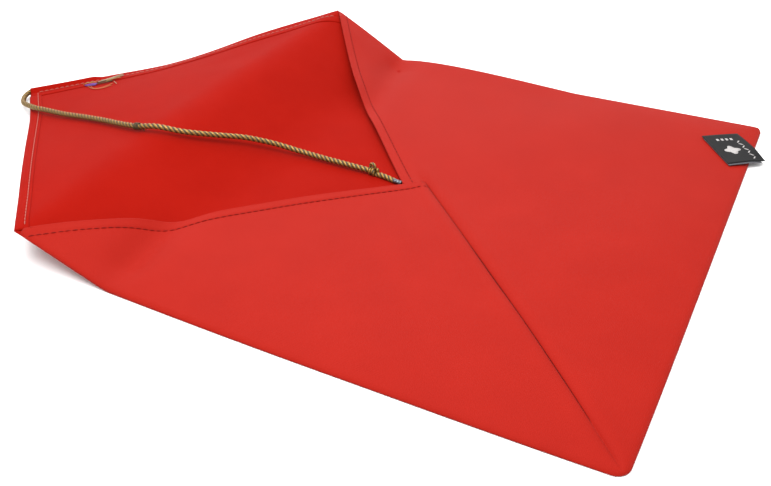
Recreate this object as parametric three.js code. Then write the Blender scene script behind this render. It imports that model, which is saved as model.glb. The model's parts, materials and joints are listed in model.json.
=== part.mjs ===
// A flat red cloth envelope pouch with a triangular flap, a twisted gold tie cord and a woven label.
// Units are millimetres, +Z is up. The origin is the middle of the square body's underside.
// +X runs from the flap to the closed seam, +Y from the near fold to the far fold.
//
// Every cloth piece is first drawn on the flat pattern, as (x, y) with a height above the
// underside, and lay() then bends the pattern: right of the crease it lies flat, left of the
// crease the mouth end slopes up to the fold line, and past the fold line the flap slopes down
// again until its tip nearly touches the ground.
import * as THREE from "three";

// Overall sizes of the flat pattern
const SIDE = 360; // the body is a square of this side
const FLAP_LENGTH = 180; // fold line to flap tip
const MOUTH_DEPTH = 162; // fold line to the bottom of the V-shaped mouth

// Cloth and layers
const CLOTH = 1.0; // one layer of cloth with its loft
const GAP = 0.3; // clearance between pieces that touch
const POCKET_HEIGHT = 5.4; // clear space between the back and the front layer
const EDGE_BAND = 14; // width in which the front layer comes down to the back at a folded edge
const HEM_WIDTH = 8;
const STITCH_INSET = 6.2; // stitch line from the hemmed edge
const THREAD = 0.8; // width of a row of sewing thread
const THREAD_HEIGHT = 0.5;
const SEAM_ALLOWANCE = 9;
const ALLOWANCE_THICKNESS = 0.7;
const HEM_TURN = 0.9; // how much thicker a mouth hem is than the cloth
const FAR_HEM_WIDTH = 17; // the flap's far hem
const FAR_STITCH_INSET = 9.8; // its stitch line, outside which it holds the cord
const CORNER_CLEAR = 3; // the flap's hems start this far from the folded corners

// The raised mouth end
const CREASE_NEAR = 67; // fold line to crease, along the near edge
const CREASE_FAR = 73; // the same along the far edge
const LIFT_NEAR = 21.6; // how high the near end of the fold line stands
const LIFT_FAR = 36;
const TIP_LIFT = 2.5; // how high the flap's tip stands
const SAG_NEAR = 1.0; // 1 is a straight slope, more is a deeper sag towards the tip
const SAG_FAR = 1.65;

// Tie cord
const CORD = 4.3; // diameter
const CORD_SIDES = 8;
const ANCHOR_LENGTH = 46; // stretch of the cord held inside the flap's hem
const ANCHOR_END = 5.5; // how far from the flap's tip the held stretch ends
const KNOT_LENGTH = 9;
const KNOT_RADIUS = 3.9;
const TAIL_LENGTH = 13;
const SLEEVE_LENGTH = 6;
const KNOT_TURN = -0.19; // radians from +X to the tail
const LOOP_HALF = 2.3; // half the distance between the loop's feet
const LOOP_HEIGHT = 5.5;
const LOOP_CORD = 3.2;
const TAIL_RADIUS = 1.8;
const WHIPPING_RADIUS = 1.4;
const WHIPPING_FROM_FOLD = 17; // its place on the flat pattern, from the fold line
const WHIPPING_Y = -59;
const TUFT_FROM_TIP = 40; // where the frayed end starts, along the far hem
const TUFT_LENGTH = 28;
const TUFT_REACH = 9; // how far the threads stand out of the hem
const TUFT_THICKNESS = 3;

// Label
const LABEL_WIDTH = 27;
const LABEL_LENGTH = 38;
const LABEL_TURN = -52; // degrees from +X to the label's length
const LABEL_THICKNESS = 0.6;
const LABEL_OVERHANG = 10; // how far the label's corner stands over the closed edge
const LABEL_CORNER_Y = 119;
const UNDER_STEP = 3; // how far the under leaf is out of line with the top leaf
const MOTIF_MARGIN = 10;
const MOTIF_HALF = 5;
const MOTIF_THICKNESS = 0.3;

const HALF = SIDE / 2;
const FRONT_LOW = CLOTH + POCKET_HEIGHT;
const lerp = THREE.MathUtils.lerp;
const along = (y) => (y + HALF) / SIDE;
const creaseAt = (y) => -HALF + lerp(CREASE_NEAR, CREASE_FAR, along(y));
const liftAt = (y) => lerp(LIFT_NEAR, LIFT_FAR, along(y));
const sagAt = (y) => lerp(SAG_NEAR, SAG_FAR, along(y));

// Height of the flap's underside at a share of the way from the fold line to the tip.
const flapHeight = (y, share) => {
  const lift = liftAt(y);
  return TIP_LIFT + (lift - TIP_LIFT) * Math.max(1 - share, 0) ** sagAt(y);
};

// Bends a point of the flat pattern into place, without stretching the cloth along X.
function lay(x, y, height) {
  const crease = creaseAt(y);
  if (x >= crease) return new THREE.Vector3(x, y, height);
  const slope = crease + HALF;
  const past = crease - x;
  if (past <= slope) {
    const z = (liftAt(y) * past) / slope;
    return new THREE.Vector3(crease - Math.sqrt(past * past - z * z), y, z + height);
  }
  const steps = 24;
  const run = (past - slope) / steps;
  let px = crease - Math.sqrt(slope ** 2 - liftAt(y) ** 2);
  let pz = liftAt(y);
  for (let i = 1; i <= steps; i++) {
    const z = flapHeight(y, (run * i) / FLAP_LENGTH);
    px -= Math.sqrt(Math.max(run ** 2 - (z - pz) ** 2, 0));
    pz = z;
  }
  return new THREE.Vector3(px, y, pz + height);
}

// The front layer's underside: it lies on the back at the square's edges and stands clear inside.
function frontLow(x, y) {
  const inward = Math.min(HALF - Math.abs(y), HALF - Math.abs(x));
  const share = THREE.MathUtils.clamp(inward / EDGE_BAND, 0, 1);
  return lerp(CLOTH + GAP, FRONT_LOW, share);
}
const frontHigh = (x, y) => frontLow(x, y) + CLOTH;

const paint = (color, roughness, metalness = 0) =>
  new THREE.MeshStandardMaterial({ color, roughness, metalness });
const COTTON = { color: 0xcc342a, roughness: 0.85 };
const INNER = { color: 0xc8241c, roughness: 0.9 };
const DARK_THREAD = { color: 0x7c1414, roughness: 0.8 };
const PALE_THREAD = { color: 0xe6c0b0, roughness: 0.8 };
const GOLD = { color: 0xb8923c, roughness: 0.45, metalness: 0.5 };
const BLACK_WOVEN = { color: 0x1c1c20, roughness: 0.75 };
const WHITE_WOVEN = { color: 0xe4e2e0, roughness: 0.75 };
const STEEL = { color: 0x8a8c92, roughness: 0.35, metalness: 0.9 };
const TUFT = { color: 0x8a6a9a, roughness: 0.7 };

const root = new THREE.Group();
const pouch = new THREE.Group();
const flap = new THREE.Group();
const label = new THREE.Group();
const cord = new THREE.Group();
root.add(pouch, flap, label, cord);

function add(group, name, geometry, finish) {
  const mesh = new THREE.Mesh(geometry, paint(finish.color, finish.roughness, finish.metalness));
  mesh.name = name;
  group.add(mesh);
  return mesh;
}

const valueAt = (value, x, y) => (typeof value === "function" ? value(x, y) : value);

// A cloth piece between two pattern lines of equally many points, from the low to the high
// surface: a subdivided box whose vertices are moved onto the laid cloth.
function panel(group, name, finish, edgeA, edgeB, low, high, across = 1, perSpan = 1) {
  const spans = edgeA.length - 1;
  const box = new THREE.BoxGeometry(1, 1, 1, spans * perSpan, across, 1);
  const position = box.attributes.position;
  for (let i = 0; i < position.count; i++) {
    const travel = (position.getX(i) + 0.5) * spans;
    const span = Math.min(Math.floor(travel + 1e-6), spans - 1);
    const share = travel - span;
    const side = position.getY(i) + 0.5;
    const ax = lerp(edgeA[span][0], edgeA[span + 1][0], share);
    const ay = lerp(edgeA[span][1], edgeA[span + 1][1], share);
    const bx = lerp(edgeB[span][0], edgeB[span + 1][0], share);
    const by = lerp(edgeB[span][1], edgeB[span + 1][1], share);
    const x = lerp(ax, bx, side);
    const y = lerp(ay, by, side);
    const top = position.getZ(i) > 0;
    const p = lay(x, y, valueAt(top ? high : low, x, y));
    position.setXYZ(i, p.x, p.y, p.z);
  }
  return add(group, name, box, finish);
}

// A point on a mouth edge of the front layer. side is -1 on the near half and 1 on the far half,
// share runs from the folded corner to the bottom of the V, and inset goes into the cloth.
const mouthSlant = Math.hypot(MOUTH_DEPTH, HALF);
function mouth(side, share, inset = 0) {
  const x = -HALF + MOUTH_DEPTH * share + (HALF / mouthSlant) * inset;
  const y = HALF * (1 - share) + (MOUTH_DEPTH / mouthSlant) * inset;
  return [x, side * y];
}
// The share at which a mouth line reaches a given distance from the folded edge.
const mouthShareAtBand = (inset) =>
  (EDGE_BAND + GAP + (MOUTH_DEPTH / mouthSlant) * inset) / HALF;
// The share at which a mouth line meets the crease.
function mouthShareAtCrease(side, inset) {
  let share = 0.5;
  for (let i = 0; i < 8; i++) {
    const [, y] = mouth(side, share, inset);
    share = (creaseAt(y) + HALF - (HALF / mouthSlant) * inset) / MOUTH_DEPTH;
  }
  return share;
}
// The share at which a near mouth line reaches the diagonal seam, which runs along x = -y.
const nearShareAtSeam = (inset) =>
  (SIDE + ((MOUTH_DEPTH - HALF) / mouthSlant) * inset) / (MOUTH_DEPTH + HALF);
// The share at which a far mouth line ends, just clear of the near hem.
const farHemEnd = (inset) => 1 - (2 * GAP + (MOUTH_DEPTH / SIDE) * 2 * inset) / mouthSlant;
const onSeam = (x, offset = 0) => [x + offset / Math.SQRT2, -x + offset / Math.SQRT2];

const HALF_GAP = GAP / 2;
const CORNER_GAP = 4 * GAP; // clearance where the corners of several pieces meet
const beside = (y, offset) => [creaseAt(y) + offset, y];
const foldLine = (y) => [-HALF + HALF_GAP, y];
const INNER_LINE = HALF - EDGE_BAND; // where the sloping edge band ends
const BAND_TOP = INNER_LINE + GAP;

// ---- Back layer -------------------------------------------------------------------------------
panel(pouch, "back_panel", COTTON,
  [beside(-HALF, HALF_GAP), [HALF, -HALF]],
  [beside(HALF, HALF_GAP), [HALF, HALF]], 0, CLOTH, 2, 2);
panel(pouch, "mouth_strip", INNER,
  [foldLine(-HALF), beside(-HALF, -HALF_GAP)],
  [foldLine(HALF), beside(HALF, -HALF_GAP)], 0, CLOTH, 8, 4);

// ---- Front layer: panels, the tips left of the crease, and the folded edges ---------------------
const nearInner = mouthShareAtCrease(-1, HEM_WIDTH);
const farInner = mouthShareAtCrease(1, HEM_WIDTH);
const nearCorner = mouth(-1, nearShareAtSeam(HEM_WIDTH), HEM_WIDTH);
const hemOnSeam = mouth(-1, nearShareAtSeam(0));
const past = (point, dx, dy = 0) => [point[0] + dx, point[1] + dy];

panel(pouch, "near_front_panel", COTTON,
  [beside(-INNER_LINE, HALF_GAP), [0, -INNER_LINE], [INNER_LINE - CORNER_GAP, -INNER_LINE]],
  [past(mouth(-1, nearInner, HEM_WIDTH), HALF_GAP), past(nearCorner, -GAP, -GAP),
    onSeam(INNER_LINE - CORNER_GAP / 2, -GAP)],
  frontLow, frontHigh, 2, 2);
panel(pouch, "far_front_panel", COTTON,
  [past(mouth(1, farInner, HEM_WIDTH), HALF_GAP), 
    past(mouth(1, farHemEnd(HEM_WIDTH), HEM_WIDTH), HALF_GAP, HALF_GAP),
    past(hemOnSeam, GAP, GAP), onSeam(INNER_LINE - CORNER_GAP / 2, HALF_GAP)],
  [beside(INNER_LINE, HALF_GAP), [0, INNER_LINE], [INNER_LINE, INNER_LINE],
    [INNER_LINE, -INNER_LINE + CORNER_GAP]],
  frontLow, frontHigh, 2, 2);

for (const [name, side] of [["near", -1], ["far", 1]]) {
  const start = mouthShareAtBand(HEM_WIDTH);
  const [startX] = mouth(side, start, HEM_WIDTH);
  const outer = [[startX + GAP, side * INNER_LINE], beside(side * INNER_LINE, -HALF_GAP)];
  const inner = [
    past(mouth(side, start + GAP / mouthSlant, HEM_WIDTH), HALF_GAP),
    past(mouth(side, mouthShareAtCrease(side, HEM_WIDTH), HEM_WIDTH), -HALF_GAP)];
  const lines = side < 0 ? [outer, inner] : [inner, outer];
  panel(pouch, name + "_front_tip", COTTON, ...lines, frontLow, frontHigh, 4, 4);

  const edge = side * HALF;
  const band = side * BAND_TOP;
  const bandStart = -HALF + (MOUTH_DEPTH * EDGE_BAND) / HALF;
  const tipLines = [
    [[-HALF + GAP, edge], [creaseAt(edge) - HALF_GAP, edge]],
    [[bandStart, band], [creaseAt(band) - HALF_GAP, band]]];
  const edgeLines = [
    [[creaseAt(edge) + HALF_GAP, edge], [HALF - 2 * GAP, edge]],
    [[creaseAt(band) + HALF_GAP, band], [BAND_TOP - 2 * GAP, band]]];
  const order = (pair) => (side < 0 ? pair : [pair[1], pair[0]]);
  panel(pouch, name + "_tip_fold", COTTON, ...order(tipLines), frontLow, frontHigh, 2, 5);
  panel(pouch, name + "_fold_edge", COTTON, ...order(edgeLines), frontLow, frontHigh, 2, 2);
}

// ---- Closed side and the diagonal seam ----------------------------------------------------------
const sideStrip = (name, finish, inner, outer, end, low, high) =>
  panel(pouch, name, finish,
    [[outer, -HALF + end[1]], [outer, HALF - end[1]]],
    [[inner, -HALF + end[0]], [inner, HALF - end[0]]], low, high, 2, 2);
sideStrip("side_seam", COTTON, BAND_TOP, HALF, [EDGE_BAND + GAP, 2 * GAP], frontLow, frontHigh);
const seamFloor = CLOTH + GAP;
const seamInner = BAND_TOP + 2 * GAP;
const threadInner = seamInner + SEAM_ALLOWANCE + 2 * GAP;
const clearOfFolds = 2 * EDGE_BAND;
sideStrip("side_seam_allowance", INNER, seamInner, seamInner + SEAM_ALLOWANCE,
  [clearOfFolds, clearOfFolds], seamFloor, seamFloor + ALLOWANCE_THICKNESS);
sideStrip("side_seam_thread", DARK_THREAD, threadInner, threadInner + THREAD,
  [clearOfFolds, clearOfFolds], seamFloor, seamFloor + THREAD_HEIGHT);

const underFront = FRONT_LOW - GAP;
const seamStart = EDGE_BAND;
const seamEnd = HALF - clearOfFolds;
const seamStrip = (name, finish, from, to, thickness) =>
  panel(pouch, name, finish,
    [onSeam(seamStart, from), onSeam(seamEnd, from)],
    [onSeam(seamStart, to), onSeam(seamEnd, to)], underFront - thickness, underFront);
seamStrip("diagonal_seam_allowance", INNER, -SEAM_ALLOWANCE - GAP, -GAP, ALLOWANCE_THICKNESS);
seamStrip("diagonal_seam_thread", DARK_THREAD, 2 * GAP, 2 * GAP + THREAD, THREAD_HEIGHT);

// ---- Mouth hems and their stitching -------------------------------------------------------------
// Each hem line starts at the folded edge, passes the crease and ends at the bottom of the V.
const mouthLine = (side, end, inset) => [
  mouth(side, mouthShareAtBand(inset), inset),
  mouth(side, mouthShareAtCrease(side, inset), inset),
  mouth(side, end, inset)];
const hemLow = (x, y) => Math.max(frontLow(x, y) - HEM_TURN, CLOTH + GAP);
const threadLow = (x, y) => frontHigh(x, y) + GAP;
const threadHigh = (x, y) => threadLow(x, y) + THREAD_HEIGHT;
for (const [name, side] of [["near", -1], ["far", 1]]) {
  const end = (inset) =>
    side < 0 ? nearShareAtSeam(inset) - (2 * GAP) / mouthSlant : farHemEnd(inset);
  const strip = (kind, finish, from, to, low, high) => {
    const free = mouthLine(side, end(from), from);
    const inner = mouthLine(side, end(to), to);
    const lines = side < 0 ? [inner, free] : [free, inner];
    panel(pouch, name + kind, finish, ...lines, low, high, 1, 3);
  };
  strip("_mouth_hem", COTTON, 0, HEM_WIDTH - GAP, hemLow, frontHigh);
  strip("_mouth_stitches", DARK_THREAD, STITCH_INSET - THREAD, STITCH_INSET, threadLow, threadHigh);
}

// ---- Flap ---------------------------------------------------------------------------------------
const flapSlant = Math.hypot(FLAP_LENGTH, HALF);
// A point on a flap edge: share runs from the folded corner to the tip, inset goes into the cloth.
function flapEdge(side, share, inset = 0) {
  const x = -HALF - FLAP_LENGTH * share + (HALF / flapSlant) * inset;
  const y = HALF * (1 - share) - (FLAP_LENGTH / flapSlant) * inset;
  return [x, side * y];
}
const farInset = (x, y) =>
  ((x + HALF + FLAP_LENGTH) * HALF) / flapSlant - (y * FLAP_LENGTH) / flapSlant;
const cornerShare = (inset) => (inset + CORNER_CLEAR) / flapSlant;
const channelShare = 1 - ANCHOR_LENGTH / flapSlant;
// The near hem stops beside the channel, along a line parallel to the far edge.
const nearHemEnd = (inset) => {
  const lean = (inset * (HALF ** 2 - FLAP_LENGTH ** 2)) / flapSlant ** 2;
  return 1 - ((FAR_HEM_WIDTH + 2 * GAP - lean) * flapSlant) / (2 * FLAP_LENGTH * HALF);
};
const flapLines = (inset) => [
  [[-HALF - HALF_GAP, HALF - inset], flapEdge(1, 1 - 2 * GAP / flapSlant)],
  [[-HALF - HALF_GAP, -HALF + inset], flapEdge(-1, 1 - 2 * GAP / flapSlant)]];
panel(flap, "flap_panel", INNER, ...flapLines(GAP), 0, CLOTH, 8, 10);

const onFlap = CLOTH + GAP;
const flapStrip = (name, finish, side, start, end, insets, low, high, across = 1) => {
  const edgeLine = (inset) => [
    flapEdge(side, valueAt(start, inset), inset), flapEdge(side, valueAt(end, inset), inset)];
  const [outer, inner] = insets.map(edgeLine);
  const lines = side > 0 ? [outer, inner] : [inner, outer];
  return panel(flap, name, finish, ...lines, low, high, across, 10);
};
const farFlapHemEnd = channelShare - GAP / flapSlant;
const stitchBand = (inset) => [inset - THREAD, inset];
const onHem = onFlap + CLOTH + GAP;
flapStrip("flap_far_hem", INNER, 1, cornerShare, farFlapHemEnd, [0, FAR_HEM_WIDTH],
  onFlap, onFlap + CLOTH);
flapStrip("flap_near_hem", INNER, -1, cornerShare, nearHemEnd, [0, HEM_WIDTH],
  onFlap, onFlap + CLOTH);
flapStrip("flap_far_stitches", PALE_THREAD, 1, cornerShare, 1 - FAR_STITCH_INSET / flapSlant,
  stitchBand(FAR_STITCH_INSET), onHem, onHem + THREAD_HEIGHT);
flapStrip("flap_near_stitches", PALE_THREAD, -1, cornerShare, nearHemEnd, stitchBand(STITCH_INSET),
  onHem, onHem + THREAD_HEIGHT);

// Near the tip the hem is a channel: its outer part arches over the cord and is open at the tip.
const channelRise = CORD + 2 * GAP;
const archWidth = (FAR_HEM_WIDTH + GAP) / 2;
const channelLow = (x, y) => {
  const inset = farInset(x, y);
  const toEdge = Math.max(Math.min(inset, archWidth - inset), 0);
  return onFlap + channelRise * Math.min(toEdge / (archWidth / 4), 1);
};
flapStrip("flap_cord_channel", INNER, 1, channelShare, 1 - 2 * GAP / flapSlant,
  [GAP, FAR_HEM_WIDTH], channelLow, (x, y) => channelLow(x, y) + CLOTH, 8);

// ---- Tie cord -----------------------------------------------------------------------------------
function tube(points, diameter, steps, sides = CORD_SIDES) {
  const section = new THREE.Shape();
  for (let i = 0; i < sides; i++) {
    const turn = (2 * Math.PI * i) / sides;
    const x = (diameter / 2) * Math.cos(turn);
    const y = (diameter / 2) * Math.sin(turn);
    if (i === 0) section.moveTo(x, y);
    else section.lineTo(x, y);
  }
  section.closePath();
  const extrudePath = new THREE.CatmullRomCurve3(points, false, "centripetal");
  return new THREE.ExtrudeGeometry(section, { steps, extrudePath, bevelEnabled: false });
}
const vectors = (list) => list.map(([x, y, z]) => new THREE.Vector3(x, y, z));

// The stretch held inside the channel.
const anchorInset = archWidth / 2;
const anchorHeight = onFlap + GAP + CORD / 2;
const anchorPoint = (fromTip) => {
  const [x, y] = flapEdge(1, 1 - fromTip / flapSlant, anchorInset);
  return lay(x, y, anchorHeight);
};
add(flap, "cord_anchor",
  tube([ANCHOR_LENGTH - 1, ANCHOR_LENGTH / 2, ANCHOR_END].map(anchorPoint), CORD, 6), GOLD);

// The free stretch: out of the channel, round the flap's tip, over the flap and down into the mouth.
const CORD_ROUTE = [
  [-347.5, -1.5, 6.6], [-350.4, -6.2, 6.4], [-352.2, -12.0, 5.6], [-350.6, -18.6, 4.8],
  [-345.0, -24.4, 4.9], [-336.5, -29.6, 6.6], [-325.0, -34.4, 9.6], [-312.0, -38.0, 11.8],
  [-296.0, -41.0, 13.4], [-276.0, -43.2, 15.4], [-251.0, -45.4, 19.0], [-229.0, -48.4, 22.4],
  [-210.0, -52.0, 25.4], [-192.0, -54.4, 28.6], [-176.0, -53.0, 31.2], [-160.0, -45.6, 27.4],
  [-145.0, -32.0, 22.0], [-130.0, -17.4, 16.4], [-114.0, -6.0, 9.8], [-97.0, -0.6, 5.2],
  [-77.0, -0.4, 4.2], [-60.0, -1.2, 4.1], [-51.4, -1.4, 4.4]];
add(cord, "cord", tube(vectors(CORD_ROUTE), CORD, 64), GOLD);

// The stopper knot, its standing loop, the tail and the sleeve on the tail's end.
const routeEnd = new THREE.Vector3(...CORD_ROUTE[CORD_ROUTE.length - 1]);
const knotGroup = new THREE.Group();
knotGroup.position.set(routeEnd.x + GAP + KNOT_LENGTH / 2, routeEnd.y, CLOTH + GAP + KNOT_RADIUS);
knotGroup.rotation.z = KNOT_TURN;
cord.add(knotGroup);
const knotProfile = [[0, -0.5], [0.55, -0.42], [1, -0.16], [1, 0.16], [0.55, 0.42], [0, 0.5]]
  .map(([r, l]) => new THREE.Vector2(r * KNOT_RADIUS, l * KNOT_LENGTH));
const knot = add(knotGroup, "cord_knot", new THREE.LatheGeometry(knotProfile, 12), GOLD);
knot.rotation.z = -Math.PI / 2;
const loopFoot = KNOT_RADIUS + GAP;
const loopPoints = [
  [-LOOP_HALF, 0, loopFoot], [-LOOP_HALF, 0, loopFoot + LOOP_HEIGHT / 2],
  [0, 0, loopFoot + LOOP_HEIGHT],
  [LOOP_HALF, 0, loopFoot + LOOP_HEIGHT / 2], [LOOP_HALF, 0, loopFoot]];
add(knotGroup, "cord_loop", tube(vectors(loopPoints), LOOP_CORD, 10), GOLD);
const tailHeight = TAIL_RADIUS - KNOT_RADIUS; // it lies on the cloth, below the knot's middle
const tailStart = KNOT_LENGTH / 2 + GAP;
add(knotGroup, "cord_tail",
  tube(vectors([[tailStart, 0, tailHeight], [tailStart + TAIL_LENGTH / 2, 0, tailHeight],
    [tailStart + TAIL_LENGTH, 0, tailHeight]]), 2 * TAIL_RADIUS, 4), GOLD);
const sleeve = add(knotGroup, "cord_sleeve",
  new THREE.CylinderGeometry(TAIL_RADIUS, TAIL_RADIUS, SLEEVE_LENGTH, 12), STEEL);
sleeve.rotation.z = Math.PI / 2;
sleeve.position.set(tailStart + TAIL_LENGTH + GAP + SLEEVE_LENGTH / 2, 0, tailHeight);

// A whipping of thread that hangs under the cord on the flap, and the frayed end at the hem.
const whipping = add(flap, "cord_whipping", new THREE.SphereGeometry(WHIPPING_RADIUS, 10, 6),
  DARK_THREAD);
whipping.position.copy(
  lay(-HALF - WHIPPING_FROM_FOLD, WHIPPING_Y, onFlap + WHIPPING_RADIUS));
const tuftPoint = (fromTip) => flapEdge(1, 1 - fromTip / flapSlant, FAR_HEM_WIDTH + GAP);
const tuftStart = tuftPoint(TUFT_FROM_TIP);
const tuftEnd = tuftPoint(TUFT_FROM_TIP + TUFT_LENGTH);
const tuftReach = (point) => past(point, TUFT_REACH / 2, -TUFT_REACH);
panel(flap, "cord_frayed_end", TUFT, [tuftEnd, tuftStart],
  [tuftReach(tuftEnd), tuftReach(tuftStart)], onFlap, onFlap + TUFT_THICKNESS, 1, 2);

// ---- Label --------------------------------------------------------------------------------------
const turn = THREE.MathUtils.degToRad(LABEL_TURN);
const labelBase = FRONT_LOW + CLOTH + GAP;
label.position.set(HALF + LABEL_OVERHANG, LABEL_CORNER_Y, 0);
label.rotation.z = turn;
// In the label's own frame X runs along its length and the overhanging corner is the origin.
function leaf(name, finish, x0, x1, y0, y1, low, thickness) {
  const box = new THREE.BoxGeometry(x1 - x0, y1 - y0, thickness);
  const mesh = add(label, name, box, finish);
  mesh.position.set((x0 + x1) / 2, (y0 + y1) / 2, low + thickness / 2);
}
const topLow = labelBase + LABEL_THICKNESS + GAP;
leaf("label_under_leaf", BLACK_WOVEN, -LABEL_LENGTH + UNDER_STEP, UNDER_STEP / 2,
  -LABEL_WIDTH, -UNDER_STEP, labelBase, LABEL_THICKNESS);
leaf("label_top_leaf", BLACK_WOVEN, -LABEL_LENGTH, 0, -LABEL_WIDTH, 0, topLow, LABEL_THICKNESS);
leaf("label_motif", WHITE_WOVEN, -LABEL_LENGTH + MOTIF_MARGIN, -MOTIF_MARGIN,
  -LABEL_WIDTH / 2 - MOTIF_HALF, -LABEL_WIDTH / 2 + MOTIF_HALF,
  topLow + LABEL_THICKNESS + GAP, MOTIF_THICKNESS);

export default root;
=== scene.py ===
# %% [markdown]
# # A cloth envelope pouch with a tie cord
# A red cotton pouch that a folded blanket is kept in. It lies open: the flap is laid back, the mouth
# end stands up a little from its folds, and a twisted gold cord runs from the flap's tip into the
# mouth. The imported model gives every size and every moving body. These cells give it its looks.

# %% Load the frame
import json
import math

import bmesh
import bpy
import numpy as np
from mathutils import Matrix, Vector, noise


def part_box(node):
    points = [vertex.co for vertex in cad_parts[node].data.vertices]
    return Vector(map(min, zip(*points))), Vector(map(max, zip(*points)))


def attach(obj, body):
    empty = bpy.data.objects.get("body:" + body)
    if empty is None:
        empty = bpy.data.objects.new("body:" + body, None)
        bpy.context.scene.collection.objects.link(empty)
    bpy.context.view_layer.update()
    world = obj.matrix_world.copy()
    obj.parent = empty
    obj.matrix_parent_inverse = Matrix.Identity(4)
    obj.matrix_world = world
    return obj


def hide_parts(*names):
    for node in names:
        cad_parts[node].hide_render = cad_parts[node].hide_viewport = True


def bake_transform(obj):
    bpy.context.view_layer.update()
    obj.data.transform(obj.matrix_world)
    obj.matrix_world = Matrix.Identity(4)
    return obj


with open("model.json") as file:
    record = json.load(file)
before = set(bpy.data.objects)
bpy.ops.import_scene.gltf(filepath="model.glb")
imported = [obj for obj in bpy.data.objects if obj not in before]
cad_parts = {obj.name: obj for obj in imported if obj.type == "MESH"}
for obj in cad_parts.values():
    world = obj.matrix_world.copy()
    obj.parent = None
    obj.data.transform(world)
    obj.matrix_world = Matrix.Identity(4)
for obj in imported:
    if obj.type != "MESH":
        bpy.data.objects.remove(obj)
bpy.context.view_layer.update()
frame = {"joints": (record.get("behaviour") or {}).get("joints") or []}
MM = 0.001

# %% [markdown]
# ## Camera
# The camera looks down on the near side of the pouch from its right. Its place is given in the
# pouch's own frame, and its turn as three angles, so that it is easy to move by hand. A lens of about
# 41 mm gives the foreshortening that an eye sees from a little over half a metre away.

# %% Camera
EYE = Vector((0.2129, -0.4468, 0.2940))
TURN = math.radians(28.71)  # to the left of straight ahead along +Y
DIP = math.radians(34.25)  # below the horizon
ROLL = math.radians(-1.45)
LENS = 40.8  # focal length in mm, for a sensor 36 mm wide
forward = Vector((-math.sin(TURN) * math.cos(DIP), math.cos(TURN) * math.cos(DIP), -math.sin(DIP)))
level = Vector((math.cos(TURN), math.sin(TURN), 0))
upright = level.cross(forward)
right = level * math.cos(ROLL) + upright * math.sin(ROLL)
up = upright * math.cos(ROLL) - level * math.sin(ROLL)

camera_data = bpy.data.cameras.new("camera")
camera_data.lens = LENS
camera_data.sensor_width = 36
camera_data.clip_start = 0.01
camera = bpy.data.objects.new("camera", camera_data)
camera.matrix_world = Matrix.Translation(EYE) @ Matrix((right, up, -forward)).transposed().to_4x4()
bpy.context.collection.objects.link(camera)
bpy.context.scene.camera = camera
print("camera", tuple(round(v, 3) for v in camera.location))

# %% [markdown]
# ## Colours and nodes
# Colours are written as the hex values that a screen shows. A shader counts in linear light, so one
# function converts them. Another function adds a shader node with its settings and its links, which
# keeps each material short.

# %% Colour and node helpers
def linear(hex_colour):
    channels = [int(hex_colour[i : i + 2], 16) / 255 for i in (1, 3, 5)]
    return [c / 12.92 if c <= 0.04045 else ((c + 0.055) / 1.055) ** 2.4 for c in channels] + [1]


def add_node(material, kind, inputs=None, **settings):
    node = material.node_tree.nodes.new(kind)
    for name, value in settings.items():
        setattr(node, name, value)
    for name, value in (inputs or {}).items():
        if isinstance(value, bpy.types.NodeSocket):
            material.node_tree.links.new(value, node.inputs[name])
        else:
            node.inputs[name].default_value = value
    return node


def new_material(name, **shader_values):
    material = bpy.data.materials.new(name)
    material.use_nodes = True
    shader = material.node_tree.nodes["Principled BSDF"]
    for socket, value in shader_values.items():
        shader.inputs[socket.replace("_", " ")].default_value = value
    return material, shader


def set_ramp(node, stops):
    elements = node.color_ramp.elements
    while len(elements) < len(stops):
        elements.new(0.5)
    for element, (position, colour) in zip(elements, stops):
        element.position = position
        element.color = linear(colour)


# %% [markdown]
# ## Dyed cotton
# The cloth is a plain-woven cotton, dyed through. Its threads lie about 0.45 mm apart, too fine to see
# from here, so they are drawn 0.9 mm apart. One wave gives the warp, another the weft, and a
# checker says which of them lies on top. A slow noise gives the dye and the wear, a quick one the
# uneven yarn. The pattern follows a map of the flat cloth, so it stays on the cloth when it folds.
# Cotton has no gloss, only a faint bloom from its loose fibres, which the sheen gives.

# %% Cotton material
THREAD_SPACING = 0.9 * MM


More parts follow.
